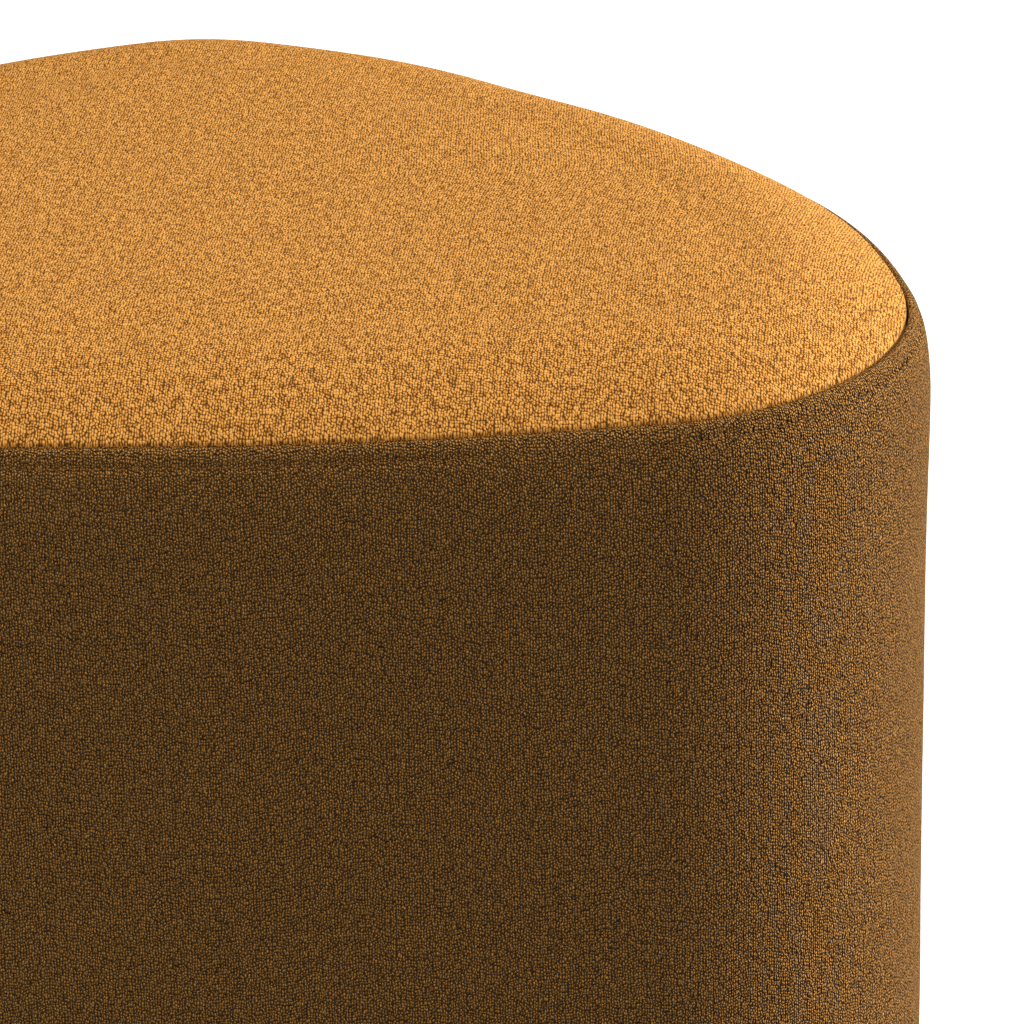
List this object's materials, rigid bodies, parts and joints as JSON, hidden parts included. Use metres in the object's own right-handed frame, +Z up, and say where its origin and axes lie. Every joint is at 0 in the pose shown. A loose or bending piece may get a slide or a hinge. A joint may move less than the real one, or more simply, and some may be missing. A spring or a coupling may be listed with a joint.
{
  "type": "storage ottoman",
  "caption": "Rounded-triangle upholstered ottoman with a lift-off padded lid over a lined storage compartment, on low round feet.",
  "frame": {"origin": "on the floor, under the middle of the ottoman's bounding box", "axes": "+Z up, the almost straight front side faces -Y, +X to the right as seen from the front"},
  "size_m": [0.58, 0.45, 0.42],
  "materials": {
    "ochre_boucle": "looped boucle cloth, matte",
    "plywood": "sanded birch plywood",
    "foam": "open-cell upholstery foam",
    "wadding": "white polyester wadding",
    "lining_cloth": "plain-woven dark brown lining on board",
    "dust_cloth": "black non-woven cloth",
    "black_plastic": "moulded matte black",
    "zinc_steel": "zinc-plated"
  },
  "bodies": {
    "base": {"base_board": "plywood", "dust_cover": "dust_cloth", "foot_back": "black_plastic", "foot_cornerLeft": "black_plastic", "foot_cornerRight": "black_plastic", "foot_flankLeft": "black_plastic", "foot_flankRight": "black_plastic", "foot_screw_back": "zinc_steel", "foot_screw_cornerLeft": "zinc_steel", "foot_screw_cornerRight": "zinc_steel", "foot_screw_flankLeft": "zinc_steel", "foot_screw_flankRight": "zinc_steel", "lining_floor": "lining_cloth", "lining_wall": "lining_cloth", "rim_ring": "plywood", "screw_high_back": "zinc_steel", "screw_high_cornerLeft": "zinc_steel", "screw_high_cornerRight": "zinc_steel", "screw_high_flankLeft": "zinc_steel", "screw_high_flankRight": "zinc_steel", "screw_high_front": "zinc_steel", "screw_low_back": "zinc_steel", "screw_low_cornerLeft": "zinc_steel", "screw_low_cornerRight": "zinc_steel", "screw_low_flankLeft": "zinc_steel", "screw_low_flankRight": "zinc_steel", "screw_low_front": "zinc_steel", "side_cover": "ochre_boucle", "side_foam": "foam", "upright_back": "plywood", "upright_cornerLeft": "plywood", "upright_cornerRight": "plywood", "upright_flankLeft": "plywood", "upright_flankRight": "plywood", "upright_front": "plywood", "wall_panel": "plywood"},
    "lid": {"key_board": "plywood", "key_screw_back": "zinc_steel", "key_screw_cornerLeft": "zinc_steel", "key_screw_cornerRight": "zinc_steel", "key_screw_flankLeft": "zinc_steel", "key_screw_flankRight": "zinc_steel", "lid_board": "plywood", "lid_cover": "ochre_boucle", "lid_foam": "foam", "lid_lining": "dust_cloth", "lid_wadding": "wadding", "pull_tab": "ochre_boucle"}
  },
  "joints": [
    {"name": "lid_lift", "type": "slide", "parent": "base", "child": "lid", "axis": [0, 0, 1], "range_m": [0, 0.25]}
  ]
}
